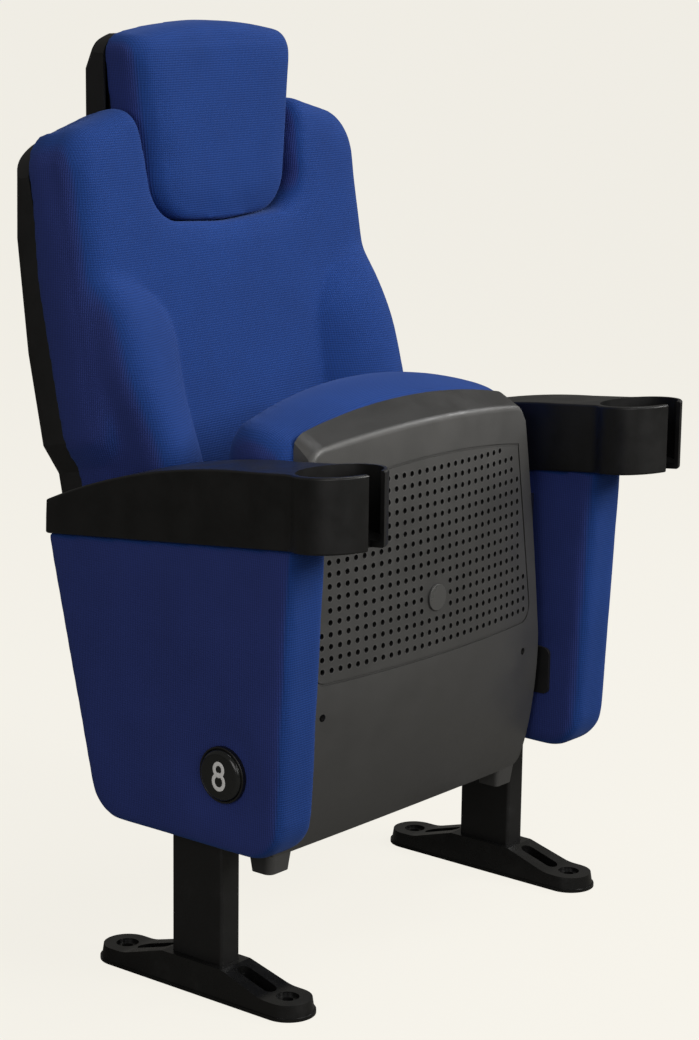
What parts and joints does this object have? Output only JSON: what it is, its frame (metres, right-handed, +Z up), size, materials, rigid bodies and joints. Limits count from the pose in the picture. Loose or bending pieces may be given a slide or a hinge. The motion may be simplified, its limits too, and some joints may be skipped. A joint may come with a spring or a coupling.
{
  "type": "tip-up stadium seat",
  "caption": "Upholstered tip-up stadium seat on two floor-bolted columns, with a perforated moulded seat pan, cup-holder armrests and a headrest.",
  "frame": {"origin": "centre of the bounding box at floor level", "axes": "+Z up, the seat faces -Y, +X to the right as seen from the front"},
  "size_m": [0.687, 0.5866, 1.1],
  "materials": {
    "foot_paint": "satin",
    "column_paint": "satin",
    "arm_plastic": "satin",
    "shell_plastic": "matte",
    "pivot_plastic": "matte",
    "pan_plastic": "matte",
    "side_fabric": "matte",
    "seat_fabric": "matte",
    "board_wood": "matte",
    "steel": "satin",
    "screw_steel": "satin",
    "sleeve_rubber": "matte",
    "bush_plastic": "matte",
    "disc_plastic": "gloss",
    "bezel_plastic": "satin"
  },
  "bodies": {
    "frame": {"left_foot": "foot_paint", "right_foot": "foot_paint", "left_column": "column_paint", "right_column": "column_paint", "left_armrest": "arm_plastic", "right_armrest": "arm_plastic", "back_shell": "shell_plastic", "headrest_shell": "shell_plastic", "left_pivot_cover": "pivot_plastic", "right_pivot_cover": "pivot_plastic", "left_panel_cover": "side_fabric", "right_panel_cover": "side_fabric", "back_cushion": "seat_fabric", "headrest_cushion": "seat_fabric", "back_board": "board_wood", "headrest_board": "board_wood", "left_panel_core": "board_wood", "right_panel_core": "board_wood", "left_arm_plate": "steel", "right_arm_plate": "steel", "left_pivot_bracket": "steel", "right_pivot_bracket": "steel", "left_pivot_pin": "steel", "right_pivot_pin": "steel", "left_stop_pin": "steel", "right_stop_pin": "steel", "left_spring_drum": "steel", "right_spring_drum": "steel", "left_back_bracket": "steel", "right_back_bracket": "steel", "back_spacers": "steel", "headrest_stays": "steel", "armrest_screws": "screw_steel", "bracket_bolts": "screw_steel", "back_bolts": "screw_steel", "headrest_screws": "screw_steel", "left_stop_sleeve": "sleeve_rubber", "right_stop_sleeve": "sleeve_rubber", "number_disc": "disc_plastic", "number_bezel": "bezel_plastic"},
    "seat": {"seat_pan": "pan_plastic", "pan_medallion": "pan_plastic", "pan_screws": "screw_steel", "seat_board": "board_wood", "seat_screws": "screw_steel", "seat_cushion": "seat_fabric", "left_pivot_arm": "steel", "right_pivot_arm": "steel", "left_pivot_bush": "bush_plastic", "right_pivot_bush": "bush_plastic"}
  },
  "joints": [
    {"name": "seat_tip", "type": "hinge", "parent": "frame", "child": "seat", "pos_m": [0, -0.081, 0.368], "axis": [1, 0, 0], "range_deg": [0, 80], "stiffness_Nm_per_rad": 3.2, "springref_deg": -68.75}
  ]
}
